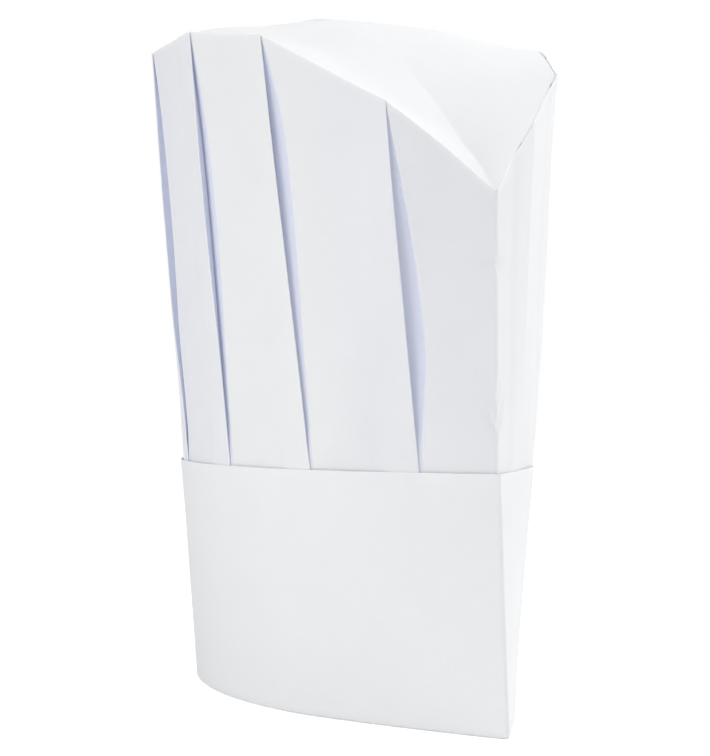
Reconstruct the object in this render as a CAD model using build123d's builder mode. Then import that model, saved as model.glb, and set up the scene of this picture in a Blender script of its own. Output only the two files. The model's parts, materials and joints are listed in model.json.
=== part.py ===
from build123d import *
import os
from math import asin, cos, hypot, radians, sin, tan

# Pleated paper chef's toque. It stands on the foot of its band, +Z up, with the
# origin at the centre of the foot. The wearer faces -Y: the front corner is at -Y,
# the rear corner at +Y, the left wall at +X and the right wall at -X.
# Millimetres and degrees.

os.makedirs("parts", exist_ok=True)

# Girths and heights
HEAD_GIRTH = 592.0            # round the outside of the band
BAND_HEIGHT = 100.0           # outer ply of the band
LINING_HEIGHT = 88.0          # inner ply of the band
CROWN_TUCK = 40.0             # crown held between the plies, below the band's top edge
CORNER_HEIGHT = 208.0         # rim of the crown at the front and rear corners
RIM_HEIGHT = 283.0            # rim of the crown at the middle of each side

# Plan: each side is an arc that runs out nearly straight to the two corners
SIDE_RADIUS = 128.0
CORNER_RADIUS = 600.0         # the slack bow of the paper next to a corner
FOOT_CORNER = 38.5            # half the angle between the two sides, at the foot
BAND_CORNER = 48.5            # the same at the band's top edge

# Pleats: one-way knife pleats, laid the same way round the whole crown
PLEATS_PER_SIDE = 6
CORNER_PANEL = 32.0           # corner to the nearest pleat, at the band
RIM_FIRST_PANEL = 35.5        # at the rim: a corner to the first pleat round from it
RIM_LAST_PANEL = 49.0         # at the rim: the last pleat to the next corner
RIM_PANEL = 47.0              # pleat to pleat at the rim
PLEAT_FOLD = 10.0             # paper turned under at each pleat
PLEAT_RAMP = 8.0              # run over which a panel rises onto its own fold
PLEAT_MOUTH = 6.0             # how deep a pleat gapes halfway up
MOUTH_RUN = 8.0               # run over which the next panel rises out of the mouth

# Top panel
HEM = 12.0                    # turned down inside the rim
CREASE_ANGLE = 41.5           # slope of the gusset crease that rises from each corner
CREST_RUN = 38.0              # distance from the middle where the crease fades into the crest
RIM_EDGE = 1.0                # the crown's cut edge stands this far above the top panel
EDGE_SINK = 0.1               # the panel joins its hem this far below the hem's top edge
GUSSET_BOW = 1.15             # 1 is two flat facets either side of the crease
CREST_BOW = 2.0               # 2 is a parabola from rim to rim

# Sheets and glue
CROWN_PAPER = 0.3
BAND_PAPER = 0.4
TOP_PAPER = 0.3
PLY_GAP = 0.2                 # air between the layers of a pleat
GLUE = 0.2                    # glue line between two sheets
LAP = 15.0                    # overlap at the centre-back seams
LAP_FROM_CORNER = 5.0         # the lap stops this far short of the rear corner
LAP_GLUE = 11.0               # width of the glue in a lap
LAP_JOG = 3.0                 # run over which a sheet steps onto its lap
GLUE_MARGIN = 4.0             # glue kept back from a sheet's edge
GLUE_SLACK = 0.01             # left between a long bead and the folds it passes

# Sweatband across the forehead
SWEATBAND = 1.0               # thickness
SWEATBAND_HEIGHT = 32.0
SWEATBAND_FOOT = 5.0          # its lower edge above the foot
SWEATBAND_PLEATS = 3          # it ends at this pleat on either side of the front corner

# Worked out from the dimensions above
HALF_GIRTH = HEAD_GIRTH / 2
PANELS = PLEATS_PER_SIDE - 1
PANEL = (HALF_GIRTH - 2 * CORNER_PANEL) / PANELS
RIM_HALF_GIRTH = RIM_FIRST_PANEL + PANELS * RIM_PANEL + RIM_LAST_PANEL
LAYER = CROWN_PAPER + PLY_GAP
OUTER = BAND_PAPER + GLUE + CROWN_PAPER / 2
MIDDLE = OUTER + LAYER
BASE = OUTER + 2 * LAYER
BASE_FACE = BASE + CROWN_PAPER / 2
BASE_FRONT = BASE - CROWN_PAPER / 2
MIDDLE_BACK = MIDDLE + CROWN_PAPER / 2
BEAD_FACE = BASE_FACE + GLUE_SLACK
LINING_FACE = BASE_FACE + GLUE
LINING_BACK = LINING_FACE + BAND_PAPER
HEM_MIDDLE = LINING_FACE + TOP_PAPER / 2
HEM_BACK = LINING_FACE + TOP_PAPER
SWEATBAND_FACE = LINING_BACK + GLUE
SWEATBAND_BACK = SWEATBAND_FACE + SWEATBAND
TUCK_FOOT = BAND_HEIGHT - CROWN_TUCK
CLEAR_TOP = RIM_HEIGHT + 20
HEM_FOOT = RIM_EDGE + HEM     # lower edge of the hem, below the rim
FOLD_RISES = [0, 0.15, 0.36, 0.6, 0.78, 0.9]
FOLD_HEIGHTS = [BAND_HEIGHT + rise * (RIM_HEIGHT - BAND_HEIGHT) for rise in FOLD_RISES]
HEM_HEIGHTS = [CORNER_HEIGHT - 2 * HEM_FOOT] + [h for h in FOLD_HEIGHTS if h > CORNER_HEIGHT] + [CLEAR_TOP]
LEFT = 1
RIGHT = -1


def edges(first, panel, last):
    """Distances of the pleats from one corner, with both corners."""
    pleats = [first + panel * i for i in range(PLEATS_PER_SIDE)]
    return [0.0] + pleats + [pleats[-1] + last]


# Plan at the foot, at the band's top edge and at the rim: height, corner angle, pleats.
# At the rim the two sides are plain arcs.
PLANS = [
    (0.0, radians(FOOT_CORNER), edges(CORNER_PANEL, PANEL, CORNER_PANEL)),
    (BAND_HEIGHT, radians(BAND_CORNER), edges(CORNER_PANEL, PANEL, CORNER_PANEL)),
    (RIM_HEIGHT, RIM_HALF_GIRTH / 2 / SIDE_RADIUS, edges(RIM_FIRST_PANEL, RIM_PANEL, RIM_LAST_PANEL)),
]


def side_point(distance, half_girth, corner, inset):
    """Point on one side of the plan, measured along it from a corner, moved in by inset."""
    if distance > half_girth / 2:
        x, y = side_point(half_girth - distance, half_girth, corner, inset)
        return x, -y
    slack = (half_girth / 2 - SIDE_RADIUS * corner) / (1 - SIDE_RADIUS / CORNER_RADIUS)
    shoulder = corner - slack / CORNER_RADIUS
    half_length = CORNER_RADIUS * (sin(corner) - sin(shoulder)) + SIDE_RADIUS * sin(shoulder)
    if distance == 0:
        return 0.0, inset / sin(corner) - half_length
    if distance < slack:
        heading = corner - distance / CORNER_RADIUS
        x = CORNER_RADIUS * (cos(heading) - cos(corner))
        y = CORNER_RADIUS * (sin(corner) - sin(heading)) - half_length
    else:
        heading = shoulder - (distance - slack) / SIDE_RADIUS
        x = CORNER_RADIUS * (cos(shoulder) - cos(corner)) + SIDE_RADIUS * (cos(heading) - cos(shoulder))
        y = -SIDE_RADIUS * sin(heading)
    return x - inset * cos(heading), y + inset * sin(heading)


def wall_point(side, place, inset, height):
    """Point of the wall in plan. A place is (pleat, share of the panel after it, extra run).

    The left side is measured from the front corner and the right side from the rear
    one, so that the pleats run the same way round on both.
    """
    pleat, share, run = place
    lower, upper = PLANS[:2] if height <= BAND_HEIGHT else PLANS[1:]
    rise = (height - lower[0]) / (upper[0] - lower[0])
    ends = []
    for _, corner, edge in (lower, upper):
        width = edge[pleat + 1] - edge[pleat] if share else 0
        distance = edge[pleat] + share * width + run
        ends.append(side_point(distance, edge[-1], corner, inset))
    (x0, y0), (x1, y1) = ends
    return side * (x0 + rise * (x1 - x0)), side * (y0 + rise * (y1 - y0))


def rim_height(place):
    """Height of the crown's rim, falling in a parabola from mid-side to the corners."""
    pleat, share, run = place
    edge = PLANS[-1][2]
    width = edge[pleat + 1] - edge[pleat] if share else 0
    distance = edge[pleat] + share * width + run
    from_corner = min(distance, edge[-1] - distance)
    return RIM_HEIGHT - (RIM_HEIGHT - CORNER_HEIGHT) * (1 - 2 * from_corner / edge[-1]) ** 2


def mouth_depth(pleat, height):
    """How far a pleat gapes: shut at the band and beside the hem, widest halfway."""
    rims = [rim_height((pleat, 0, run)) for run in (-PLEAT_FOLD - PLEAT_RAMP, MOUTH_RUN)]
    top = max(level for level in FOLD_HEIGHTS if level < min(rims) - HEM_FOOT)
    rise = (height - BAND_HEIGHT) / (top - BAND_HEIGHT)
    return PLEAT_MOUTH * max(0, 4 * rise * (1 - rise))


END = PLEATS_PER_SIDE + 1     # the far corner counts as one more pleat
LAP_END = -LAP_FROM_CORNER
LAP_START = LAP_END - LAP
GLUE_INSET = (LAP - LAP_GLUE) / 2
LAP_STEP = (END, 0, LAP_START - LAP_JOG)
LAP_GLUE_PLACES = [(END, 0, LAP_START + GLUE_INSET), (END, 0, LAP_END - GLUE_INSET)]
LAP_PLACES = [(END, 0, LAP_START)] + LAP_GLUE_PLACES + [(END, 0, LAP_END)]


def panel_places(pleat):
    """Places between one pleat and the next where the plan is measured."""
    further = LAP_STEP if pleat == PLEATS_PER_SIDE else (pleat, 0.5, 0)
    return [(pleat, 0, 0), (pleat, 0, MOUTH_RUN), further]


def side_places():
    """All places along one side that every sheet shares, from a corner to the lap's step."""
    places = [(0, 0, 0), (0, 0.25, 0)]
    for pleat in range(1, PLEATS_PER_SIDE + 1):
        places += [(pleat, 0, -PLEAT_FOLD - PLEAT_RAMP), (pleat, 0, -PLEAT_FOLD)]
        places += panel_places(pleat)
    return places


def on_left(places):
    """The same places on the left side."""
    return [(LEFT, place) for place in places]


def walls():
    """Shared places round the hat: rear corner, right side, front corner, left side, lap step."""
    return [(RIGHT, place) for place in side_places() + LAP_PLACES] + on_left(side_places())


def outline(places, face, back, height):
    """Plan outline of a sheet from its face to its back, each an inset from the plan."""
    front = [wall_point(side, place, face, height) for side, place in places]
    rear = [wall_point(side, place, back, height) for side, place in places]
    return front + rear[::-1]


def pleated_line(height):
    """Middle line of the crown sheet, as (side, place, inset), with every pleat folded."""
    line = [(LEFT, place, BASE) for place in LAP_PLACES]
    for side, lap in ((RIGHT, BASE), (LEFT, MIDDLE)):
        line += [(side, place, BASE) for place in side_places()[:2]]
        for pleat in range(1, PLEATS_PER_SIDE + 1):
            mouth = mouth_depth(pleat, height)
            line += [
                (side, (pleat, 0, -PLEAT_FOLD - PLEAT_RAMP), BASE),
                (side, (pleat, 0, -PLEAT_FOLD), OUTER),
                (side, (pleat, 0, 0), OUTER),
                (side, (pleat, 0, 0), MIDDLE),
                (side, (pleat, 0, -PLEAT_FOLD), MIDDLE + mouth),
                (side, (pleat, 0, -PLEAT_FOLD), BASE + mouth),
                (side, (pleat, 0, 0), BASE + mouth),
            ]
            line += [(side, place, BASE) for place in panel_places(pleat)[1:]]
        line += [(side, place, lap) for place in LAP_PLACES]
    return line


def travel(place):
    """Distance of a place along its side at the band."""
    pleat, share, run = place
    return PLANS[1][2][pleat] + share * PANEL + run


def thicken(line, half, height):
    """One face of the folded sheet: each corner moved out by half the paper's thickness."""
    points = []
    for i, (side, place, inset) in enumerate(line):
        turns = []
        for j in (i - 1, i):
            if j < 0 or j + 1 >= len(line) or line[j][0] != line[j + 1][0]:
                continue
            run = travel(line[j + 1][1]) - travel(line[j][1])
            drop = line[j + 1][2] - line[j][2]
            turns.append((run / hypot(run, drop), drop / hypot(run, drop)))
        (a, b), (c, d) = turns[0], turns[-1]
        mitre = half / (1 + a * c + b * d)
        pleat, share, run = place
        moved = (pleat, share, run + mitre * (b + d))
        points.append(wall_point(side, moved, inset - mitre * (a + c), height))
    return points


def pleated_outline(height):
    """Outline of the folded crown sheet in plan."""
    line = pleated_line(height)
    return thicken(line, CROWN_PAPER / 2, height) + thicken(line, -CROWN_PAPER / 2, height)[::-1]


# Places where the rim is measured, from a corner to mid-side
RIM_PLACES = [(0, share, 0) for share in (0.2, 0.5)]
RIM_PLACES += [(pleat, share, 0) for pleat in range(1, PLEATS_PER_SIDE // 2) for share in (0, 0.5)]
RIM_PLACES += [(PLEATS_PER_SIDE // 2, 0, 0), (PLEATS_PER_SIDE // 2, 0.5, 0)]


def rim_line(drop):
    """Side view of the rim, as (y, z) from front to rear, lowered by drop."""
    tip = wall_point(LEFT, (0, 0, 0), 0, CORNER_HEIGHT)[1]
    half = [(tip, CORNER_HEIGHT)]
    for place in RIM_PLACES:
        height = rim_height(place)
        half.append((wall_point(LEFT, place, 0, height)[1], height))
    (y0, z0), (y1, z1) = half[:2]
    beyond = -HALF_GIRTH / 2
    half.insert(0, (beyond, z0 + (z1 - z0) / (y1 - y0) * (beyond - y0)))
    line = half + [(-y, z) for y, z in half[-2::-1]]
    return [(y, z - drop) for y, z in line]


def above_rim(drop):
    """Side view of everything above the rim lowered by drop."""
    line = rim_line(drop)
    return line + [(line[-1][0], 2 * CLEAR_TOP), (line[0][0], 2 * CLEAR_TOP)]


def crease_height(y):
    """Height of the gusset crease, a straight slope that rounds over into the crest."""
    slope = radians(CREASE_ANGLE)
    tip = -wall_point(LEFT, (0, 0, 0), 0, CORNER_HEIGHT)[1]
    start = CORNER_HEIGHT - RIM_EDGE
    if abs(y) > CREST_RUN:
        return start + (tip - abs(y)) * tan(slope)
    radius = CREST_RUN / sin(slope)
    crown_centre = start + (tip - CREST_RUN) * tan(slope) - radius * cos(slope)
    return crown_centre + radius * cos(asin(abs(y) / radius))


def hem_reach(side, y, height):
    """Where the hem on one side stands in a section across the hat."""
    places = side_places() + LAP_PLACES + [(END, 0, 0)]
    line = [wall_point(side, place, HEM_MIDDLE, height) for place in places]
    for (x0, y0), (x1, y1) in zip(line, line[1:]):
        if side * y0 <= side * y <= side * y1:
            return x0 + (y - y0) / (y1 - y0) * (x1 - x0)


def top_outline(y, edge, facets=5):
    """Outline across the top panel between the two rims, which dips or swells at its middle."""
    swell = crease_height(y) - edge
    bow = GUSSET_BOW if swell < 0 else CREST_BOW
    upper = []
    for side, steps in ((RIGHT, range(facets, 0, -1)), (LEFT, range(facets + 1))):
        for i in steps:
            share = i / facets
            upper.append((hem_reach(side, y, edge) * share, edge + swell * (1 - share ** bow)))
    return upper + [(x, z - TOP_PAPER) for x, z in upper[::-1]]


def from_front(points):
    """Start an outline at its foremost point, so that a loft matches its sections there."""
    start = min(range(len(points)), key=lambda i: points[i][1])
    return points[start:] + points[:start]


def ring(inset, height):
    """Closed outline round the whole hat."""
    spots = walls() + on_left(LAP_PLACES)
    return from_front([wall_point(side, place, inset, height) for side, place in spots])


def forehead(inset, depth, height):
    """Outline of a strip across the forehead, where the sweatband runs."""
    reach = PLANS[1][2][SWEATBAND_PLEATS]
    right = [spot for spot in walls() if spot[0] == RIGHT and travel(spot[1]) >= HALF_GIRTH - reach]
    left = [spot for spot in walls() if spot[0] == LEFT and travel(spot[1]) <= reach]
    return from_front(outline(right + left, inset, inset + depth, height))


def patch(places, side, height):
    """Outline in plan round a stretch of one wall, wider than all its layers."""
    return outline([(side, place) for place in places], -SWEATBAND_BACK, 2 * SWEATBAND_BACK, height)


def lean(side, place, low, high):
    """How a place of the wall shifts in plan from one height to another."""
    (x0, y0), (x1, y1) = (wall_point(side, place, 0, height) for height in (low, high))
    return x1 - x0, y1 - y0, high - low


# Headband: one strip folded up at the foot into an outer ply and a lining. The outer
# ply runs on past the lining and laps over its own start.
band_ring = on_left(LAP_PLACES) + walls()
with BuildPart() as headband:
    for height in (0, BAND_HEIGHT):
        ply = outline(band_ring, 0, BAND_PAPER, height)
        flap = outline(on_left(LAP_PLACES), -BAND_PAPER - GLUE, -GLUE, height)
        lapped = ply[:len(band_ring)] + flap + ply[len(band_ring):]
        with BuildSketch(Plane.XY.offset(height)):
            with BuildLine():
                Polyline(*from_front(lapped), close=True)
            make_face()
    loft(ruled=True)
    for height in (0, LINING_HEIGHT):
        lining = outline(band_ring, LINING_FACE, LINING_BACK, height)
        with BuildSketch(Plane.XY.offset(height)):
            with BuildLine():
                Polyline(*from_front(lining), close=True)
            make_face()
    loft(ruled=True)
    with BuildSketch():
        with BuildLine():
            Polyline(*outline(band_ring, 0, LINING_BACK, 0), close=True)
        make_face()
    extrude(amount=BAND_PAPER)
headband.part.label = "headband"
export_step(headband.part, "parts/headband.step")

# Crown wall: one pleated sheet, lapped at the rear left, its top edge cut to the rim line
with BuildPart() as crown_wall:
    for height in [TUCK_FOOT] + FOLD_HEIGHTS + [CLEAR_TOP]:
        with BuildSketch(Plane.XY.offset(height)):
            with BuildLine():
                Polyline(*from_front(pleated_outline(height)), close=True)
            make_face()
    loft(ruled=True)
    with BuildSketch(Plane.YZ):
        with BuildLine():
            Polyline(*above_rim(0), close=True)
        make_face()
    extrude(amount=2 * SIDE_RADIUS, both=True, mode=Mode.SUBTRACT)
crown_wall.part.label = "crown_wall"
export_step(crown_wall.part, "parts/crown_wall.step")

# Top panel: a gusseted sheet between the rims, with its hem turned down inside them
with BuildPart() as top_panel:
    for inset, mode in ((LINING_FACE, Mode.ADD), (HEM_BACK, Mode.SUBTRACT)):
        for height in HEM_HEIGHTS:
            with BuildSketch(Plane.XY.offset(height)):
                with BuildLine():
                    Polyline(*ring(inset, height), close=True)
                make_face()
        loft(ruled=True, mode=mode)
    with BuildSketch(Plane.YZ):
        with BuildLine():
            Polyline(*rim_line(RIM_EDGE), *rim_line(HEM_FOOT)[::-1], close=True)
        make_face()
    extrude(amount=2 * SIDE_RADIUS, both=True, mode=Mode.INTERSECT)
    for y, edge in rim_line(RIM_EDGE + EDGE_SINK)[2:-2]:
        with BuildSketch(Plane.XZ.offset(-y)):
            with BuildLine():
                Polyline(*top_outline(y, edge), close=True)
            make_face()
    loft(ruled=True)
top_panel.part.label = "top_panel"
export_step(top_panel.part, "parts/top_panel.step")

# Sweatband: a soft strip inside the lining, across the forehead
with BuildPart() as sweatband:
    for height in (SWEATBAND_FOOT, SWEATBAND_FOOT + SWEATBAND_HEIGHT):
        with BuildSketch(Plane.XY.offset(height)):
            with BuildLine():
                Polyline(*forehead(SWEATBAND_FACE, SWEATBAND, height), close=True)
            make_face()
    loft(ruled=True)
sweatband.part.label = "sweatband"
export_step(sweatband.part, "parts/sweatband.step")

# Glue dabs that hold the outer layer of each pleat to the band's outer ply
with BuildPart() as crown_outer_glue:
    for inset, mode in ((BAND_PAPER, Mode.ADD), (BAND_PAPER + GLUE, Mode.SUBTRACT)):
        for height in (TUCK_FOOT + GLUE_MARGIN, BAND_HEIGHT - GLUE_MARGIN):
            with BuildSketch(Plane.XY.offset(height)):
                with BuildLine():
                    Polyline(*ring(inset, height), close=True)
                make_face()
        loft(ruled=True, mode=mode)
    with BuildSketch():
        for side in (LEFT, RIGHT):
            for pleat in range(1, PLEATS_PER_SIDE + 1):
                fold = [(pleat, 0, GLUE_INSET - PLEAT_FOLD), (pleat, 0, -GLUE_INSET)]
                with BuildLine():
                    Polyline(*patch(fold, side, BAND_HEIGHT - CROWN_TUCK / 2), close=True)
                make_face()
    extrude(amount=BAND_HEIGHT, mode=Mode.INTERSECT)
crown_outer_glue.part.label = "crown_outer_glue"
export_step(crown_outer_glue.part, "parts/crown_outer_glue.step")

# Glue bead that holds the lining to the inside of the crown sheet
with BuildPart() as crown_lining_glue:
    for inset, mode in ((BEAD_FACE, Mode.ADD), (LINING_FACE, Mode.SUBTRACT)):
        for height in (TUCK_FOOT + GLUE_MARGIN, LINING_HEIGHT - GLUE_MARGIN):
            with BuildSketch(Plane.XY.offset(height)):
                with BuildLine():
                    Polyline(*ring(inset, height), close=True)
                make_face()
        loft(ruled=True, mode=mode)
crown_lining_glue.part.label = "crown_lining_glue"
export_step(crown_lining_glue.part, "parts/crown_lining_glue.step")

# Glue bead between the crown sheet and the hem of the top panel
with BuildPart() as top_glue:
    for inset, mode in ((BEAD_FACE, Mode.ADD), (LINING_FACE, Mode.SUBTRACT)):
        for height in HEM_HEIGHTS:
            with BuildSketch(Plane.XY.offset(height)):
                with BuildLine():
                    Polyline(*ring(inset, height), close=True)
                make_face()
        loft(ruled=True, mode=mode)
    with BuildSketch(Plane.YZ):
        with BuildLine():
            Polyline(*rim_line(GLUE_MARGIN), *rim_line(HEM - GLUE_MARGIN)[::-1], close=True)
        make_face()
    extrude(amount=2 * SIDE_RADIUS, both=True, mode=Mode.INTERSECT)
top_glue.part.label = "top_glue"
export_step(top_glue.part, "parts/top_glue.step")

# Glue line in the crown sheet's centre-back lap, above the band
with BuildPart() as crown_seam_glue:
    for inset, mode in ((MIDDLE_BACK, Mode.ADD), (BASE_FRONT, Mode.SUBTRACT)):
        for height in FOLD_HEIGHTS + [CLEAR_TOP]:
            with BuildSketch(Plane.XY.offset(height)):
                with BuildLine():
                    Polyline(*ring(inset, height), close=True)
                make_face()
        loft(ruled=True, mode=mode)
    with BuildSketch(Plane.XY.offset(BAND_HEIGHT)):
        with BuildLine():
            Polyline(*patch(LAP_GLUE_PLACES, LEFT, BAND_HEIGHT), close=True)
        make_face()
    extrude(amount=CLEAR_TOP, dir=lean(LEFT, LAP_STEP, BAND_HEIGHT, CLEAR_TOP), mode=Mode.INTERSECT)
    with BuildSketch(Plane.YZ):
        with BuildLine():
            Polyline(*above_rim(GLUE_MARGIN), close=True)
        make_face()
    extrude(amount=2 * SIDE_RADIUS, both=True, mode=Mode.SUBTRACT)
crown_seam_glue.part.label = "crown_seam_glue"
export_step(crown_seam_glue.part, "parts/crown_seam_glue.step")

# Glue line in the band's centre-back lap
with BuildPart() as band_seam_glue:
    for inset, mode in ((-GLUE, Mode.ADD), (0, Mode.SUBTRACT)):
        for height in (GLUE_MARGIN, BAND_HEIGHT - GLUE_MARGIN):
            with BuildSketch(Plane.XY.offset(height)):
                with BuildLine():
                    Polyline(*ring(inset, height), close=True)
                make_face()
        loft(ruled=True, mode=mode)
    with BuildSketch():
        with BuildLine():
            Polyline(*patch(LAP_GLUE_PLACES, LEFT, 0), close=True)
        make_face()
    extrude(amount=2 * BAND_HEIGHT, dir=lean(LEFT, LAP_STEP, 0, BAND_HEIGHT), mode=Mode.INTERSECT)
band_seam_glue.part.label = "band_seam_glue"
export_step(band_seam_glue.part, "parts/band_seam_glue.step")

# Glue line behind the sweatband
with BuildPart() as sweatband_glue:
    for height in (SWEATBAND_FOOT + GLUE_MARGIN, SWEATBAND_FOOT + SWEATBAND_HEIGHT - GLUE_MARGIN):
        with BuildSketch(Plane.XY.offset(height)):
            with BuildLine():
                Polyline(*forehead(LINING_BACK, GLUE, height), close=True)
            make_face()
    loft(ruled=True)
sweatband_glue.part.label = "sweatband_glue"
export_step(sweatband_glue.part, "parts/sweatband_glue.step")
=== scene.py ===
"""Pleated paper chef's toque: three glued sheets and a sweatband, laid out as a Blender add-on.

The hat stands on the foot of its band, +Z up. The wearer faces -Y: the front corner is
at -Y, the rear corner at +Y, the left wall at +X and the right wall at -X. Metres.
"""
import json
from math import asin, cos, exp, pi, radians, sin, tan

import bmesh
import bpy
from bpy.props import FloatProperty, FloatVectorProperty, IntProperty, PointerProperty
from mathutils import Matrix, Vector, noise

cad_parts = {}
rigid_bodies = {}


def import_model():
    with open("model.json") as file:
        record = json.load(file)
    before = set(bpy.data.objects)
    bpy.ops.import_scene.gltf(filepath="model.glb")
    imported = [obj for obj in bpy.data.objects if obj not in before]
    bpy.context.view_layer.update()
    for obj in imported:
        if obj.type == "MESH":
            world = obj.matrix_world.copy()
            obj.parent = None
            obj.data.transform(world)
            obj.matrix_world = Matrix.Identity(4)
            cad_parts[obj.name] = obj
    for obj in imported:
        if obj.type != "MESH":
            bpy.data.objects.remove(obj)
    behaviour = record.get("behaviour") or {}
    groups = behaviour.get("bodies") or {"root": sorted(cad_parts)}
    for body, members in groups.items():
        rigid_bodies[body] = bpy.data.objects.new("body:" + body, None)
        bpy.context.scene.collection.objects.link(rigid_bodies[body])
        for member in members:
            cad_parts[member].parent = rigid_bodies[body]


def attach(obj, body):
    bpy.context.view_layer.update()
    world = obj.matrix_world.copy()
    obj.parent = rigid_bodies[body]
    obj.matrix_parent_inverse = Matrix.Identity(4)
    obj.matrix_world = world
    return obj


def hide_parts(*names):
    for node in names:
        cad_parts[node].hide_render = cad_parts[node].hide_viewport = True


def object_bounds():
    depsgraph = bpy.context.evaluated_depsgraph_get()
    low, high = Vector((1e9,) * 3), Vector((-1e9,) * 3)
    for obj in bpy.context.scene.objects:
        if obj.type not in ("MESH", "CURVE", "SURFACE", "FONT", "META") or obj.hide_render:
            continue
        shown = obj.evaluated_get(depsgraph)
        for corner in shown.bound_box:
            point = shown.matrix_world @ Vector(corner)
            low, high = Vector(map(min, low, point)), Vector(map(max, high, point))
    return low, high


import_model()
CAD_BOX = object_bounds()

bl_info = {
    "name": "Pleated toque",
    "version": (1, 0, 0),
    "blender": (4, 5, 0),
    "location": "3D View > Sidebar > Toque",
    "description": "Builds a pleated paper chef's toque from separate glued sheets",
    "category": "Add Mesh",
}

LEFT = 1
RIGHT = -1
BODY = "root"
MM = 0.001
# Stations just short of the rear corner
CORNER_RUNS = [-3.5 * MM, -2.4 * MM, -1.6 * MM, -0.8 * MM]
# Painted shade on each right-wall panel, at its start and end, from the rear corner forward
PANEL_PAINTED_SHADES = ((0.0, 0.14), (0.18, 0.22), (0.28, 0.30), (0.36, 0.22), (0.0, 0.0), (0.0, 0.18),
                (0.20, 0.12))
# Strength of the painted glow: the painted shade colour emitted where a sheet is marked, standing in for
# light through the paper
PAINTED_GLOW = 0.06
FLOOR_LIFT = 0.62
WORLD_LIGHT = (0.46, 0.466, 0.475)


# -------------------- sizes and colours

def length(name, description, default):
    """A size in metres."""
    return FloatProperty(name=name, description=description, default=default, unit="LENGTH", precision=5)


def tint(name, description, default):
    """A colour."""
    return FloatVectorProperty(name=name, description=description, default=default,
                               subtype="COLOR", min=0, max=1)


class ToqueSizes(bpy.types.PropertyGroup):
    """Sizes of the hat's sheets, folds and seams."""

    head_girth: length("Head girth", "Round the outside of the band", 0.592)
    band_height: length("Band height", "Outer ply of the band", 0.100)
    lining_height: length("Lining height", "Inner ply of the band", 0.088)
    crown_tuck: length("Crown tuck", "Crown held between the band's plies", 0.040)
    corner_height: length("Corner height", "Where the gusset creases start, at the front and rear", 0.208)
    rim_height: length("Rim height", "Level at which the walls reach the rim's plan", 0.283)
    side_radius: length("Side radius", "Arc of each side in plan", 0.128)
    corner_radius: length("Corner radius", "Slack bow of the paper next to a corner", 0.600)
    corner_fold: length("Corner fold", "Half the run over which a corner crease turns", 0.0016)
    foot_corner: FloatProperty(name="Foot corner", description="Half the angle between the sides at the foot",
                               default=radians(38.5), subtype="ANGLE")
    band_corner: FloatProperty(name="Band corner", description="Half that angle at the band's top edge",
                               default=radians(48.5), subtype="ANGLE")
    pleats: IntProperty(name="Pleats", description="Pleats on each side", default=6, min=6, max=6)
    corner_panel: length("Corner panel", "Corner to the nearest pleat, at the band", 0.032)
    left_rim: FloatVectorProperty(
        name="Left rim panels", description="Width of each panel at the rim, from the front corner back",
        size=7, unit="LENGTH", default=(0.034, 0.049, 0.048, 0.047, 0.047, 0.0455, 0.049))
    right_rim: FloatVectorProperty(
        name="Right rim panels", description="Width of each panel at the rim, from the rear corner forward",
        size=7, unit="LENGTH", default=(0.0355, 0.047, 0.0464, 0.0466, 0.0438, 0.0522, 0.048))
    left_rim_heights: FloatVectorProperty(
        name="Left rim heights", description="Rim at the front corner, at each pleat and at the rear corner",
        size=8, unit="LENGTH", default=(0.2085, 0.2405, 0.2700, 0.2900, 0.3020, 0.2870, 0.2490, 0.2080))
    right_rim_heights: FloatVectorProperty(
        name="Right rim heights", description="Rim at the rear corner, at each pleat and at the front corner",
        size=8, unit="LENGTH", default=(0.2080, 0.2380, 0.2660, 0.2828, 0.2824, 0.2740, 0.2443, 0.2085))
    flat_panels: FloatProperty(
        name="Flat panels", description="How far each panel flattens between its pleats at the rim",
        default=0.92, min=0, max=1)
    pleat_fold: length("Pleat fold", "Paper turned under at each pleat", 0.010)
    pleat_ramp: length("Pleat ramp", "Run over which a panel rises onto its own fold", 0.008)
    slit_width: FloatVectorProperty(
        name="Slit widths", description="Widest gape of each pleat, counted as the panels are",
        size=6, unit="LENGTH", default=(0.0055, 0.0060, 0.0062, 0.0060, 0.0060, 0.0076))
    slit_foot: length("Slit foot", "Gape of a pleat where it enters the band", 0.0020)
    slit_peak: FloatVectorProperty(
        name="Slit peaks", description="How far up each pleat gapes widest, from band to rim",
        size=6, default=(0.50, 0.58, 0.62, 0.62, 0.74, 0.38))
    left_gape: FloatProperty(name="Left gape", description="Gape of the left pleats against the right ones",
                             default=0.12)
    slit_depth: FloatProperty(name="Slit depth", description="Depth of a slit against its width",
                              default=0.52)
    fold_lip: length("Fold lip", "How far the fold beside a slit springs out", 0.0006)
    hem: length("Hem", "Top panel turned down inside the rim", 0.012)
    rim_edge: length("Rim edge", "Cut edge of the crown above the top panel", 0.0003)
    crease_angle: FloatProperty(name="Crease angle", description="Slope of the gusset crease",
                                default=radians(41.5), subtype="ANGLE")
    crest_run: length("Crest run", "Distance from the middle where the crease rounds over", 0.038)
    crest_lift: length("Crest lift", "Extra height of the crest over the smooth arc", 0.0042)
    right_sag: length("Right sag", "Sag of the top's right half. Its left half rises by 0.6 of it", 0.0034)
    crown_paper: length("Crown paper", "Thickness", 0.00024)
    band_paper: length("Band paper", "Thickness", 0.0004)
    top_paper: length("Top paper", "Thickness", 0.0003)
    ply_gap: length("Ply gap", "Air between the layers of a pleat", 0.00010)
    glue: length("Glue", "Thickness of a glue line", 0.0002)
    lap: length("Lap", "Overlap at the centre-back seams", 0.015)
    lap_from_corner: length("Lap from corner", "The lap stops this far short of the rear corner", 0.005)
    lap_jog: length("Lap jog", "Run over which a sheet steps onto its lap", 0.003)
    sweatband: length("Sweatband", "Thickness", 0.001)
    sweatband_height: length("Sweatband height", "Width of the strip", 0.032)
    sweatband_foot: length("Sweatband foot", "Its lower edge above the foot", 0.005)


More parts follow.
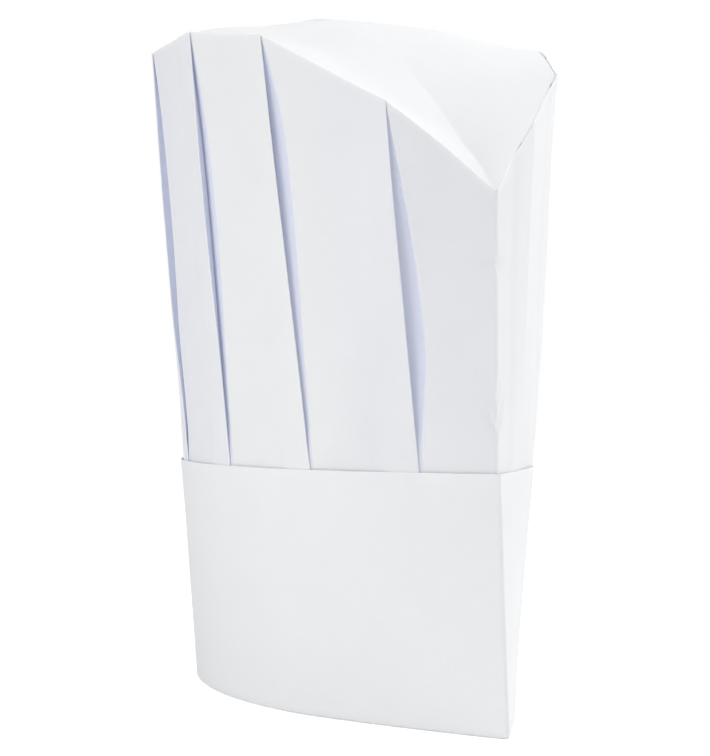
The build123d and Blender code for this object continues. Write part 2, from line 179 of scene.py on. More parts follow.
class ToqueColours(bpy.types.PropertyGroup):
    """Colours of the hat and its stage."""

    crown: tint("Crown paper", "Pleated crown sheet", (0.878, 0.889, 0.898))
    band: tint("Band paper", "Headband strip", (0.862, 0.874, 0.888))
    top: tint("Top paper", "Top panel", (0.918, 0.926, 0.936))
    # Painted shade: a lavender grey that the paper's colour turns to deep in the pleats, on the right wall's
    # panels and on the crest tuck, standing in for shadow there
    recess: tint("Pleat recess", "Paper seen deep in a pleat, lit through the sheet", (0.725, 0.750, 0.865))
    # Lighter than the sheets' faces: a painted highlight on the cut edges
    edge: tint("Cut edge", "Cut edges of the paper", (0.930, 0.935, 0.940))
    sweatband: tint("Sweatband", "Soft strip across the forehead", (0.860, 0.865, 0.860))
    glue: tint("Glue", "Dried glue lines", (0.800, 0.790, 0.740))
    floor: tint("Floor", "Stage", (0.880, 0.880, 0.880))


# -------------------- form

def smooth(value):
    """Ease from 0 to 1."""
    value = min(1.0, max(0.0, value))
    return value * value * (3 - 2 * value)


def mix(a, b, share):
    """Blend of two numbers."""
    return a + (b - a) * share


def hill(offset, spread):
    """Rounded hill of height 1."""
    return exp(-(offset / spread) ** 2)


# The next three give bows of the paper in metres, inwards where positive. "front" runs along a
# wall from 0 at the front corner to 1 at the rear corner, and "above" is 0 on the band.

def corner_crumples(front, height, above):
    """Beside the front corner: one level crumple, and two that slant up from the band."""
    level_height = 0.181
    slant_foot = 0.1165
    slant = (height - slant_foot) / 0.0150 - front / 0.025
    return [
        1.3 * MM * hill(height - level_height, 0.0028) * hill(front, 0.014),
        0.9 * MM * hill(slant, 0.26) * hill(front - 0.008, 0.016) * above,
        0.6 * MM * hill(slant - 0.75, 0.28) * hill(front - 0.004, 0.014) * above,
    ]


def left_relief(front, height):
    """On the left wall: a broad swell of its front third, and a hollow under the rim there."""
    swell_place = 0.32
    hollow_place = 0.27
    swell = (0.6 + 1.5 * hill(height - 0.130, 0.055)) * MM
    return [
        -swell * hill(front - swell_place, 0.20),
        0.9 * MM * hill(front - hollow_place, 0.07) * smooth((height - 0.190) / 0.060),
    ]


def right_relief(front, height, above):
    """On the right wall: a swell, a ridge that leans forward as it rises, a fine crease that
    falls back from the corner's top, and two dents at the band."""
    swell_place = 0.62
    ridge_foot, ridge_head, ridge_end = 0.221, 0.150, 0.262
    ridge_base, ridge_rise, ridge_half = 0.099, 0.107, 0.075
    crease_top = 0.2075
    upper_dent = 0.094
    lower_dent = 0.056
    swell = (1.2 + 1.2 * smooth((height - 0.120) / 0.050)) * MM
    ridge_line = mix(ridge_foot, ridge_head, (height - ridge_base) / ridge_rise)
    ridge = max(0.0, 1 - abs(front - ridge_line) / ridge_half)
    crease = 0.30 * MM * above * hill((crease_top - height) - 0.19 * front, 0.0018)
    below = 1 - smooth((height - 0.098) / 0.004)
    return [
        -swell * hill(front - swell_place, 0.14),
        -1.9 * MM * above * smooth(ridge) * smooth((ridge_end - height) / 0.060),
        -crease * smooth((0.060 - front) / 0.04) * smooth(front / 0.008),
        0.7 * MM * hill(front - 0.101, 0.012) * hill(height - upper_dent, 0.014),
        0.5 * MM * hill(front - 0.100, 0.016) * hill(height - lower_dent, 0.016) * below,
    ]


class Form:
    """The hat's plan, folds and heights. A place is (pleat, share of the panel after it, extra run)."""

    def __init__(self, sizes):
        self.sizes = sizes
        for key in ("band_height", "rim_height", "corner_height", "pleat_fold", "pleat_ramp", "side_radius",
                    "corner_radius", "corner_fold", "lining_height", "crest_run", "crease_angle", "rim_edge",
                    "hem", "pleats"):
            setattr(self, key, getattr(sizes, key))
        half_girth = sizes.head_girth / 2
        panel = (half_girth - 2 * sizes.corner_panel) / (self.pleats - 1)
        band_edges = self.edges([sizes.corner_panel] + [panel] * (self.pleats - 1) + [sizes.corner_panel])
        self.plans = {}
        for side, widths in ((LEFT, sizes.left_rim), (RIGHT, sizes.right_rim)):
            rim = self.edges(list(widths))
            self.plans[side] = [
                (0.0, sizes.foot_corner, band_edges),
                (self.band_height, sizes.band_corner, band_edges),
                (self.rim_height, rim[-1] / 2 / self.side_radius, rim),
            ]
        layer = sizes.crown_paper + sizes.ply_gap
        self.outer = sizes.band_paper + sizes.glue + sizes.crown_paper / 2
        self.middle = self.outer + layer
        self.base = self.outer + 2 * layer
        self.turn = layer / 2
        self.lining = self.base + sizes.crown_paper / 2 + sizes.glue + sizes.band_paper / 2
        self.hem_middle = self.lining - sizes.band_paper / 2 + sizes.top_paper / 2
        self.sweat_middle = self.lining + sizes.band_paper / 2 + sizes.glue + sizes.sweatband / 2
        self.tuck_foot = self.band_height - sizes.crown_tuck
        self.lap_end = -sizes.lap_from_corner
        self.lap_start = self.lap_end - sizes.lap
        self.lap_step = self.lap_start - sizes.lap_jog

    @staticmethod
    def edges(widths):
        """Distances of the pleats from one corner, with both corners."""
        line = [0.0]
        for width in widths:
            line.append(line[-1] + width)
        return line

    def distance(self, edge, place):
        """How far along a side a place lies, for one plan's pleats."""
        pleat, share, run = place
        width = edge[pleat + 1] - edge[pleat] if share else 0.0
        return edge[pleat] + share * width + run

    def side_point(self, distance, girth, corner, inset):
        """Point on one side of the plan, along it from a corner and moved in by inset."""
        if distance > girth / 2:
            x, y = self.side_point(girth - distance, girth, corner, inset)
            return x, -y
        slack = (girth / 2 - self.side_radius * corner) / (1 - self.side_radius / self.corner_radius)
        shoulder = corner - slack / self.corner_radius
        half_length = self.corner_radius * (sin(corner) - sin(shoulder)) + self.side_radius * sin(shoulder)
        fold = self.corner_fold
        if distance < fold:
            x, y = self.side_point(fold, girth, corner, inset)
            tip = inset / sin(corner) - half_length
            share = 0.5 + 0.5 * max(distance, 0.0) / fold
            before, at, after = (1 - share) ** 2, 2 * share * (1 - share), share ** 2
            return x * (after - before), y * (after + before) + tip * at
        ease = 10 * fold
        if distance < ease:
            distance += inset / tan(corner) * (1 - distance / ease)
        if distance < slack:
            heading = corner - distance / self.corner_radius
            x = self.corner_radius * (cos(heading) - cos(corner))
            y = self.corner_radius * (sin(corner) - sin(heading)) - half_length
        else:
            heading = shoulder - (distance - slack) / self.side_radius
            x = self.corner_radius * (cos(shoulder) - cos(corner))
            x += self.side_radius * (cos(heading) - cos(shoulder))
            y = -self.side_radius * sin(heading)
        return x - inset * cos(heading), y + inset * sin(heading)

    def flatten(self, share, bounds, girth, height):
        """How far a panel draws in from the arc towards its chord."""
        full_height = 0.090
        amount = self.sizes.flat_panels * smooth((height - self.band_height) / full_height)
        if amount == 0:
            return 0.0
        for start, stop in zip(bounds, bounds[1:]):
            if start <= share <= stop:
                return amount * (share - start) * (stop - share) * girth ** 2 / (2 * self.side_radius)
        return 0.0

    def wall_point(self, side, place, inset, height):
        """Point of the wall in plan at a height, with the paper's own unevenness."""
        plans = self.plans[side]
        lower, upper = plans[:2] if height <= self.band_height else plans[1:]
        rise = (height - lower[0]) / (upper[0] - lower[0])
        low, high = (self.distance(plan[2], place) for plan in (lower, upper))
        share = mix(low / lower[2][-1], high / upper[2][-1], rise)
        bounds = [mix(a / lower[2][-1], b / upper[2][-1], rise) for a, b in zip(lower[2], upper[2])]
        inset += self.relief(side, share, height) + self.flatten(share, bounds, upper[2][-1], height)
        x0, y0 = self.side_point(low, lower[2][-1], lower[1], inset)
        x1, y1 = self.side_point(high, upper[2][-1], upper[1], inset)
        return side * mix(x0, x1, rise), side * mix(y0, y1, rise)

    def spot(self, side, place, inset, height):
        """The wall's point in space."""
        return (*self.wall_point(side, place, inset, height), height)

    def rim_edges(self, side):
        """Distances of the corners and pleats along the rim."""
        return self.plans[side][-1][2]

    def relief(self, side, share, height):
        """How far the paper bows in (+) or out (-) of the plain wall."""
        wave_depth = 0.45 * MM
        quiet_corner = 0.08
        front = share if side == LEFT else 1 - share
        wave = noise.noise(Vector((side * 3.1 + front * 9.0, height * 16.0, 2.7)))
        calm = smooth(front / quiet_corner) * smooth((1 - front) / quiet_corner)
        above = smooth((height - self.band_height) / 0.012)
        terms = [wave_depth * wave * calm] + corner_crumples(front, height, above)
        terms += left_relief(front, height) if side == LEFT else right_relief(front, height, above)
        bow = 0.0
        for term in terms:
            bow += term
        return bow

    def rim(self, side, place):
        """Height of the crown's rim, cut straight across each panel."""
        edge = self.rim_edges(side)
        heights = self.sizes.left_rim_heights if side == LEFT else self.sizes.right_rim_heights
        distance = min(max(self.distance(edge, place), 0.0), edge[-1])
        for i in range(len(edge) - 1):
            if distance <= edge[i + 1]:
                break
        return mix(heights[i], heights[i + 1], (distance - edge[i]) / (edge[i + 1] - edge[i]))

    def mouth(self, side, pleat, height):
        """How deep and wide a pleat gapes."""
        narrowest = 0.35 * MM
        held_in_band = 0.6
        entry = 0.020
        rim = self.rim(side, (pleat, 0, 0))
        rise = (height - self.band_height) / (rim - self.band_height)
        if rise <= 0:
            return 0.0, self.sizes.slit_foot * held_in_band
        peak = self.sizes.slit_peak[pleat - 1]
        widest = self.sizes.slit_width[pleat - 1] * (self.sizes.left_gape if side == LEFT else 1.0)
        if rise < peak:
            width = mix(self.sizes.slit_foot, widest, smooth(rise / peak))
        else:
            width = widest * (1 - ((rise - peak) / (1 - peak)) ** 2)
        enter = smooth((height - self.band_height) / entry)
        return self.sizes.slit_depth * width * enter, max(width, narrowest)

    def place_at(self, side, distance):
        """The place at a distance along the rim."""
        edge = self.rim_edges(side)
        for pleat in range(len(edge) - 1):
            if distance <= edge[pleat + 1]:
                break
        return pleat, (distance - edge[pleat]) / (edge[pleat + 1] - edge[pleat]), 0.0

    def pocket(self, side, place, height):
        """How far a sheet behind the pleats is pressed in by their gape."""
        edge = self.rim_edges(side)
        distance = self.distance(edge, place)
        reach, past_fold, past_slit = 0.030, 0.011, 0.005
        press = 0.0
        for pleat in range(1, self.pleats + 1):
            run = distance - edge[pleat]
            depth, width = self.mouth(side, pleat, height)
            if abs(run) < reach:
                behind = smooth((run + self.pleat_fold + past_fold) / 0.006)
                ahead = smooth((width + past_slit - run) / 0.004)
                press += depth * behind * ahead
        return press

    def crease(self, y):
        """Height of the gusset crease, a straight slope that rounds over into the crest."""
        tip = -self.side_point(0.0, self.plans[LEFT][2][2][-1], self.plans[LEFT][2][1], 0.0)[1]
        start = self.corner_height - self.rim_edge
        slope = self.crease_angle
        lift = self.sizes.crest_lift * hill(y - 0.008, 0.032)
        if abs(y) > self.crest_run:
            return start + (tip - abs(y)) * tan(slope) + lift
        radius = self.crest_run / sin(slope)
        centre = start + (tip - self.crest_run) * tan(slope) - radius * cos(slope)
        return centre + radius * cos(asin(abs(y) / radius)) + lift


# -------------------- sheets

def add_sheet(name, rows, marks=None):
    """A new object over rows of points, with None where the sheet stops. Marks set each point's share of
    painted shade.
    """
    mesh = bpy.data.meshes.new(name)
    index, points, shades = {}, [], []
    for r, row in enumerate(rows):
        for c, point in enumerate(row):
            if point is not None:
                index[r, c] = len(points)
                points.append(point)
                shades.append(marks[r][c] if marks else 0.0)
    faces = []
    for r in range(len(rows) - 1):
        for c in range(len(rows[r]) - 1):
            corners = [(r, c), (r, c + 1), (r + 1, c + 1), (r + 1, c)]
            if all(corner in index for corner in corners):
                faces.append([index[corner] for corner in corners])
    mesh.from_pydata(points, [], faces)
    recess = mesh.attributes.new("recess", "FLOAT", "POINT")
    recess.data.foreach_set("value", shades)
    sheet = bpy.data.objects.new(name, mesh)
    bpy.context.collection.objects.link(sheet)
    return sheet


def pick_none():
    """Deselect everything."""
    for other in bpy.context.view_layer.objects:
        other.select_set(False)


def pick(piece):
    """Select one object alone."""
    pick_none()
    piece.select_set(True)
    bpy.context.view_layer.objects.active = piece


def finish_sheet(piece, thickness, materials, merge=0.0, bevel=0.0):
    """Close doubled points, give the sheet its thickness and its materials."""
    shell = bmesh.new()
    shell.from_mesh(piece.data)
    if merge:
        bmesh.ops.remove_doubles(shell, verts=shell.verts, dist=merge)
        bmesh.ops.dissolve_degenerate(shell, edges=shell.edges, dist=merge)
    shell.to_mesh(piece.data)
    shell.free()
    for material in materials:
        piece.data.materials.append(material)
    pick(piece)
    solid = piece.modifiers.new("Thickness", "SOLIDIFY")
    solid.thickness = thickness
    solid.offset = 0.0
    solid.use_even_offset = True
    solid.thickness_clamp = 0.0
    solid.material_offset_rim = 1 if len(materials) > 1 else 0
    bpy.ops.object.modifier_apply(modifier=solid.name)
    if bevel:
        round_edges = piece.modifiers.new("Soft edges", "BEVEL")
        round_edges.width = bevel
        round_edges.segments = 3
        round_edges.limit_method = "ANGLE"
        round_edges.angle_limit = radians(60)
        bpy.ops.object.modifier_apply(modifier=round_edges.name)
    bpy.ops.object.shade_smooth_by_angle(angle=radians(38))


def spread(start, stop, count):
    """Evenly spaced numbers, both ends included."""
    return [mix(start, stop, i / (count - 1)) for i in range(count)]


def panel_stations(form, pleat, width):
    """Places across the plain part of a panel, from its slit to the ramp onto the next fold."""
    rest = -form.pleat_fold - form.pleat_ramp
    if pleat == 0:
        shares = [0, 0.012, 0.025, 0.04, 0.06, 0.09, 0.14, 0.21, 0.30, 0.41, 0.53, 0.66, 0.80, 1.0]
        return [(0, share, rest * share) for share in shares[:-1]]
    if pleat == form.pleats:
        shares = [0.10, 0.22, 0.36, 0.50, 0.62, 0.73, 0.82, 0.89, 0.93, 0.96, 0.975, 0.988, 1.0]
        return [(pleat, share, width * (1 - share)) for share in shares]
    return [(pleat, share, mix(width, rest, share)) for share in spread(0, 1, 12)[1:-1]]


def pleat_path(form, side, pleat, height):
    """The folded sheet at one pleat, as (run, inset, shade): ramp, fold, return, fold, slit. The shade is
    painted shade: full under the fold and in the slit, fading up the slit's far side.
    """
    depth, width = form.mouth(side, pleat, height)
    lip = form.sizes.fold_lip * min(1.0, depth / (4 * MM))
    fold, turn = form.pleat_fold, form.turn
    path = []
    for share in spread(0, 1, 7):
        path.append((-fold - form.pleat_ramp * (1 - share), mix(form.base, form.outer, smooth(share)), 0.0))
    for share in (0.3, 0.6, 0.8, 0.92):
        path.append((-fold * (1 - share), form.outer - lip * smooth(share), 0.0))
    for angle in spread(-pi / 2, pi / 2, 6):
        run = -turn + turn * cos(angle)
        inset = form.outer - lip + turn + turn * sin(angle)
        path.append((run, inset, 0.0 if angle < 0.2 else 0.6))
    for share in (0.08, 0.16, 0.24, 0.34, 0.6, 0.85):
        inset = mix(form.middle - lip, form.middle + depth, smooth(share * 3))
        path.append((mix(-turn, turn - fold, share), inset, 1.0))
    for angle in spread(-pi / 2, pi / 2, 6):
        path.append((-fold + turn - turn * cos(angle), form.middle + depth + turn + turn * sin(angle), 1.0))
    for share in (0.25, 0.5, 0.75, 1.0):
        path.append((mix(turn - fold, 0.0, share), form.base + depth, 1.0))
    for share in (0.2, 0.4, 0.6, 0.76):
        path.append((width * share, form.base + depth * (1 - 0.20 * share ** 2), 1.0))
    for share, left in ((0.84, 0.55), (0.91, 0.22), (0.96, 0.06)):
        path.append((width * share, form.base + depth * left, 0.9 * left + 0.1))
    path.append((width, form.base, 0.0))
    return path, width


def painted_panel_shade(side, pleat, share):
    """How far a panel takes the painted shade colour: given on the right wall, none on the left."""
    if side == LEFT:
        return 0.0
    start, stop = PANEL_PAINTED_SHADES[pleat]
    return mix(start, stop, share)


def crown_row(form, share, above):
    """One row of the crown from its lap round to its lap: points, and each point's share of painted shade."""
    points, shades = [], []

    def height_at(side, place):
        if not above:
            return mix(form.tuck_foot, form.band_height, share)
        return mix(form.band_height, form.rim(side, place), share)

    def put(side, place, inset, shade=0.0):
        points.append(form.spot(side, place, inset, height_at(side, place)))
        shades.append(0.0 if above and share == 1 else shade)

    end = form.pleats + 1
    for run in spread(form.lap_start, form.lap_end, 6) + CORNER_RUNS:
        put(LEFT, (end, 0, run), form.base)
    for side in (RIGHT, LEFT):
        for place in panel_stations(form, 0, 0.0):
            put(side, place, form.base)
        for pleat in range(1, end):
            path, width = pleat_path(form, side, pleat, height_at(side, (pleat, 0, 0)))
            for run, inset, shade in path:
                before = painted_panel_shade(side, pleat - 1, 1) if run < width else painted_panel_shade(side, pleat, 0)
                put(side, (pleat, 0, run), inset, max(shade, before))
            stations = panel_stations(form, pleat, width)
            if pleat < form.pleats:
                for place in stations:
                    put(side, place, form.base, painted_panel_shade(side, pleat, place[1]))
            elif side == RIGHT:
                for place in stations[:-1]:
                    put(side, place, form.base, painted_panel_shade(side, pleat, 0.5))
    for part in (0.1, 0.3, 0.55, 0.8, 1.0):
        put(LEFT, (form.pleats, part, mix(width, form.lap_step, part)), form.base)
    for step in (0.5, 1.0):
        put(LEFT, (end, 0, mix(form.lap_step, form.lap_start, step)), mix(form.base, form.middle, step))
    for run in spread(form.lap_start, form.lap_end, 5)[1:]:
        put(LEFT, (end, 0, run), form.middle)
    return points, shades


def crown_sheet(form):
    """The pleated crown, from its tucked foot to its rim."""
    rows, marks = [], []
    levels = [(share, False) for share in spread(0, 1, 7)[:-1]]
    levels += [(share, True) for share in spread(0, 1, 56)]
    for share, above in levels:
        points, shades = crown_row(form, share, above)
        rows.append(points)
        marks.append(shades)
    return add_sheet("crown_sheet", rows, marks)


def band_places(form):
    """Stations round the band from the start of its lap to the step onto the lap."""
    end = form.pleats + 1
    places = [(LEFT, (end, 0, run)) for run in spread(form.lap_start, form.lap_end, 6)]
    places += [(LEFT, (end, 0, run)) for run in CORNER_RUNS]
    for side in (RIGHT, LEFT):
        for pleat in range(end):
            shares = spread(0, 1, 15)[:-1]
            if pleat == 0:
                shares = [0, 0.02, 0.05, 0.08, 0.13] + spread(0.2, 1, 9)[:-1]
            if pleat == form.pleats and side == RIGHT:
                shares = spread(0, 0.8, 9) + [0.87, 0.92, 0.95, 0.98]
            if pleat == form.pleats and side == LEFT:
                shares = spread(0, 0.25, 3)
            places += [(side, (pleat, share, 0.0)) for share in shares]
    places.append((LEFT, (end, 0, form.lap_step)))
    return places


def band_sheet(form):
    """The headband: an outer ply, a fold at the foot and a lining, lapped at the rear left."""
    sizes = form.sizes
    outside = sizes.band_paper / 2
    radius = (form.lining - outside) / 2
    lap = -sizes.band_paper / 2 - sizes.glue
    profile = [(outside, mix(sizes.band_height, radius, share)) for share in spread(0, 1, 42)]
    for angle in spread(0, pi, 10)[1:-1]:
        inset = outside + radius * (1 - cos(angle))
        profile.append((inset, radius * (1 - sin(angle)) + sizes.band_paper / 2))
    profile += [(form.lining, mix(radius, sizes.lining_height, share)) for share in spread(0, 1, 18)]
    stations = band_places(form)
    end = form.pleats + 1
    flap = [(LEFT, (end, 0, run)) for run in spread(form.lap_start, form.lap_end, 6)]
    rows = []
    for inset, height in profile:
        row = [form.spot(side, place, inset, height) for side, place in stations]
        outer_ply = inset == outside
        row += [form.spot(side, place, lap, height) if outer_ply else None for side, place in flap]
        rows.append(row)
    return add_sheet("band_sheet", rows)


def top_height(form, share, y, right_edge, left_edge):
    """Height of the top panel: two facets beside the gusset crease, rounding over into the crest."""
    edge = mix(right_edge, left_edge, (share + 1) / 2)
    swell = form.crease(y) - edge
    dome, facet = 2.0, 1.08
    bow = mix(dome, facet, smooth((abs(y) - 0.018) / 0.030))
    tilt = hill(share + 0.55, 0.28) - 0.6 * hill(share - 0.45, 0.30)
    sag = form.sizes.right_sag * tilt * hill(y, 0.070)
    return edge + swell * (1 - abs(share) ** bow) - sag


def crest_tuck(x, y):
    """A small pinched tuck near the crest: its lift, and the painted shade on its front side, standing in for
    the shadow in its open fold.
    """
    from_x, from_y = x + 0.0215, y + 0.0080
    half_length, half_width = 0.0075, 0.0014
    along = 0.885 * from_x - 0.465 * from_y
    across = 0.465 * from_x + 0.885 * from_y - 0.0010 * sin(along / 0.0024)
    reach = smooth((half_length - abs(along)) / 0.0030)
    front = hill(across + 0.0022, half_width)
    return 0.6 * MM * reach * hill(across, half_width), reach * min(1.0, 1.3 * front)


def top_sheet(form):
    """The top panel: a gusseted, domed sheet with its hem turned down inside the rim."""
    girth = form.rim_edges(LEFT)[-1]
    crowding = 0.85
    rows, marks = [], []
    for u in spread(0, 1, 221):
        along = girth * (u - crowding * sin(2 * pi * u) / (2 * pi))
        ends = {}
        for side, distance in ((RIGHT, girth - along), (LEFT, along)):
            place = form.place_at(side, distance * form.rim_edges(side)[-1] / girth)
            ends[side] = (place, form.rim(side, place) - form.rim_edge)
        place, edge = ends[LEFT]
        half_width = abs(form.wall_point(LEFT, place, form.hem_middle, edge)[0])
        turn = min(0.3 * MM, 0.4 * half_width)

        def hem_points(side):
            place, edge = ends[side]
            line = []
            for drop in spread(form.hem, turn, 6):
                inset = form.hem_middle + form.pocket(side, place, edge - drop)
                inset += 0.2 * MM * smooth(drop / 0.005)
                line.append(form.spot(side, place, inset, edge - drop))
            for angle in spread(0, pi / 2, 5)[1:-1]:
                inset = form.hem_middle + turn * (1 - cos(angle))
                line.append(form.spot(side, place, inset, edge - turn * (1 - sin(angle))))
            return line, form.wall_point(side, place, form.hem_middle + turn, edge)

        right, (x0, y0) = hem_points(RIGHT)
        left, (x1, y1) = hem_points(LEFT)
        row, shades = list(right), [0.0] * len(right)
        for share in spread(-1, 1, 111):
            x, y = mix(x0, x1, (share + 1) / 2), mix(y0, y1, (share + 1) / 2)
            lift, shade = crest_tuck(x, y)
            row.append((x, y, top_height(form, share, y, ends[RIGHT][1], ends[LEFT][1]) + lift))
            shades.append(shade)
        rows.append(row + left[::-1])
        marks.append(shades + [0.0] * len(left))
    return add_sheet("top_sheet", rows, marks)


def forehead_places(form):
    """Stations across the forehead, where the sweatband runs."""
    reach = form.plans[LEFT][1][2][3]
    half = form.sizes.head_girth / 2
    steps = [0.0, 0.8 * MM, 1.6 * MM, 3 * MM, 6 * MM] + spread(0.012, reach, 30)
    right = [(RIGHT, (0, 0, half - step)) for step in steps[::-1]]
    return right + [(LEFT, (0, 0, step)) for step in steps[1:]]


def sweatband_sheet(form):
    """A soft strip along the inside of the lining."""
    sizes = form.sizes
    stations = forehead_places(form)
    rows = []
    for share in spread(0, 1, 17):
        height = sizes.sweatband_foot + sizes.sweatband_height * share
        rows.append([form.spot(side, place, form.sweat_middle, height) for side, place in stations])
    return add_sheet("sweatband_strip", rows)


def glue_grid(form, name, stations, inset, levels, pressed=False):
    """A glue line between two sheets, over stations and heights. A pressed one follows the gapes."""
    rows = []
    for level in levels:
        row = []
        for side, place in stations:
            height = level(side, place) if callable(level) else level
            press = form.pocket(side, place, height) if pressed else 0.0
            row.append(form.spot(side, place, inset + press, height))
        rows.append(row)
    return add_sheet(name, rows)


# -------------------- materials

def add_node(tree, kind, **settings):
    """A node with its settings. Numbered keys such as in1 fill input sockets."""
    made = tree.nodes.new(kind)
    for key, value in settings.items():
        if key.startswith("in") and key[2:].isdigit():
            made.inputs[int(key[2:])].default_value = value
        else:
            setattr(made, key, value)
    return made


def paper_fibre_group():
    """Cloudy formation, fine fibres and a raised surface, as paper has."""
    name = "paper_fibre"
    if name in bpy.data.node_groups:
        return bpy.data.node_groups[name]
    group = bpy.data.node_groups.new(name, "ShaderNodeTree")
    for title, kind in (("Vector", "NodeSocketVector"), ("Fibre size", "NodeSocketFloat"),
                        ("Cloud size", "NodeSocketFloat")):
        group.interface.new_socket(title, in_out="INPUT", socket_type=kind)
    for title in ("Cloud", "Fibre", "Height"):
        group.interface.new_socket(title, in_out="OUTPUT", socket_type="NodeSocketFloat")
    link = group.links.new
    entry = add_node(group, "NodeGroupInput")
    leave = add_node(group, "NodeGroupOutput")
    clouds = add_node(group, "ShaderNodeTexNoise", in3=3.0, in4=0.55)
    fibres = add_node(group, "ShaderNodeTexNoise", in3=4.0, in4=0.65)
    warp = add_node(group, "ShaderNodeVectorMath", operation="MULTIPLY", in1=(1.0, 1.0, 0.35))
    strands = add_node(group, "ShaderNodeTexNoise", in3=2.0, in4=0.5)
    strand_size = add_node(group, "ShaderNodeMath", operation="MULTIPLY", in1=2.4)
    total = add_node(group, "ShaderNodeMath", operation="ADD")
    link(entry.outputs["Vector"], clouds.inputs["Vector"])
    link(entry.outputs["Cloud size"], clouds.inputs["Scale"])
    link(entry.outputs["Vector"], fibres.inputs["Vector"])
    link(entry.outputs["Fibre size"], fibres.inputs["Scale"])
    link(entry.outputs["Vector"], warp.inputs[0])
    link(warp.outputs[0], strands.inputs["Vector"])
    link(entry.outputs["Fibre size"], strand_size.inputs[0])
    link(strand_size.outputs[0], strands.inputs["Scale"])
    link(fibres.outputs[0], total.inputs[0])
    link(strands.outputs[0], total.inputs[1])
    link(clouds.outputs[0], leave.inputs["Cloud"])
    link(fibres.outputs[0], leave.inputs["Fibre"])
    link(total.outputs[0], leave.inputs["Height"])
    return group


def soft_material(name, colour, recess, cloud_size, fibre_size, shading, bump, rough):
    """Paper, felt or glue. Its colour varies with formation and fibre, and turns to the painted shade colour,
    with a faint painted glow, where the sheet is marked."""
    material = bpy.data.materials.new(name)
    material.use_nodes = True
    tree = material.node_tree
    link = tree.links.new
    surface = tree.nodes["Principled BSDF"]
    place = add_node(tree, "ShaderNodeTexCoord")
    fibre = add_node(tree, "ShaderNodeGroup", node_tree=paper_fibre_group())
    fibre.inputs["Cloud size"].default_value = cloud_size
    fibre.inputs["Fibre size"].default_value = fibre_size
    link(place.outputs["Object"], fibre.inputs["Vector"])
    both = add_node(tree, "ShaderNodeMath", operation="MULTIPLY_ADD", in1=0.5)
    link(fibre.outputs["Cloud"], both.inputs[0])
    half = add_node(tree, "ShaderNodeMath", operation="MULTIPLY", in1=0.5)
    link(fibre.outputs["Fibre"], half.inputs[0])
    link(half.outputs[0], both.inputs[2])
    tone = add_node(tree, "ShaderNodeMapRange", in1=0.30, in2=0.70, in3=1 - shading, in4=1 + shading)
    link(both.outputs[0], tone.inputs[0])
    # Mask of the painted shade and painted glow, set on the sheet's points
    depth = add_node(tree, "ShaderNodeAttribute", attribute_name="recess")
    base = add_node(tree, "ShaderNodeMix", data_type="RGBA", in6=(*colour, 1), in7=(*recess, 1))
    link(depth.outputs["Fac"], base.inputs[0])
    shaded = add_node(tree, "ShaderNodeVectorMath", operation="SCALE")
    link(base.outputs[2], shaded.inputs[0])
    link(tone.outputs[0], shaded.inputs["Scale"])
    link(shaded.outputs[0], surface.inputs["Base Color"])
    # Painted glow: the painted shade colour, emitted where the mask is set
    glow = add_node(tree, "ShaderNodeMix", data_type="RGBA", in6=(0, 0, 0, 1), in7=(*recess, 1))
    link(depth.outputs["Fac"], glow.inputs[0])
    link(glow.outputs[2], surface.inputs["Emission Color"])
    surface.inputs["Emission Strength"].default_value = PAINTED_GLOW
    polish = add_node(tree, "ShaderNodeMapRange", in1=0.30, in2=0.70, in3=rough - 0.06, in4=rough + 0.06)
    link(fibre.outputs["Cloud"], polish.inputs[0])
    link(polish.outputs[0], surface.inputs["Roughness"])
    grain = add_node(tree, "ShaderNodeBump")
    grain.inputs["Strength"].default_value = bump
    grain.inputs["Distance"].default_value = 0.00008
    link(fibre.outputs["Height"], grain.inputs["Height"])
    link(grain.outputs[0], surface.inputs["Normal"])
    surface.inputs["Subsurface Weight"].default_value = 0.30
    surface.inputs["Subsurface Radius"].default_value = (0.90, 0.95, 1.0)
    surface.inputs["Subsurface Scale"].default_value = 0.001
    surface.inputs["Specular IOR Level"].default_value = 0.25
    return material


def paper_pair(name, colour):
    """A sheet's own surface and its cut edge, which is painted lighter as a highlight."""
    colours = bpy.context.scene.toque_colours
    face = soft_material(name, tuple(colour), tuple(colours.recess), cloud_size=38.0,
                         fibre_size=900.0, shading=0.018, bump=0.30, rough=0.72)
    # The cut edge's painted highlight colour, which takes no painted shade
    plain = tuple(colours.edge)
    edge = soft_material(name + "_edge", plain, plain, cloud_size=60.0,
                         fibre_size=2400.0, shading=0.03, bump=0.5, rough=0.85)
    return face, edge


# -------------------- operators

class AddCrown(bpy.types.Operator):
    """Pleat the crown sheet"""

    bl_idname = "toque.add_crown"
    bl_label = "Crown sheet"

    def execute(self, context):
        sizes = context.scene.toque_sizes
        crown = crown_sheet(Form(sizes))
        finish_sheet(crown, sizes.crown_paper, paper_pair("crown_paper", context.scene.toque_colours.crown))
        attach(crown, BODY)
        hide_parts("crown_wall")
        return {"FINISHED"}


class AddHeadband(bpy.types.Operator):
    """Fold the headband strip into its outer ply and lining"""

    bl_idname = "toque.add_headband"
    bl_label = "Headband"

    def execute(self, context):
        sizes = context.scene.toque_sizes
        band = band_sheet(Form(sizes))
        finish_sheet(band, sizes.band_paper, paper_pair("band_paper", context.scene.toque_colours.band))
        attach(band, BODY)
        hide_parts("headband")
        return {"FINISHED"}


class AddTopPanel(bpy.types.Operator):
    """Crease and dome the top panel"""

    bl_idname = "toque.add_top_panel"
    bl_label = "Top panel"

    def execute(self, context):
        sizes = context.scene.toque_sizes
        top = top_sheet(Form(sizes))
        paper = paper_pair("top_paper", context.scene.toque_colours.top)
        finish_sheet(top, sizes.top_paper, paper, merge=0.00001)
        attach(top, BODY)
        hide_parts("top_panel")
        return {"FINISHED"}


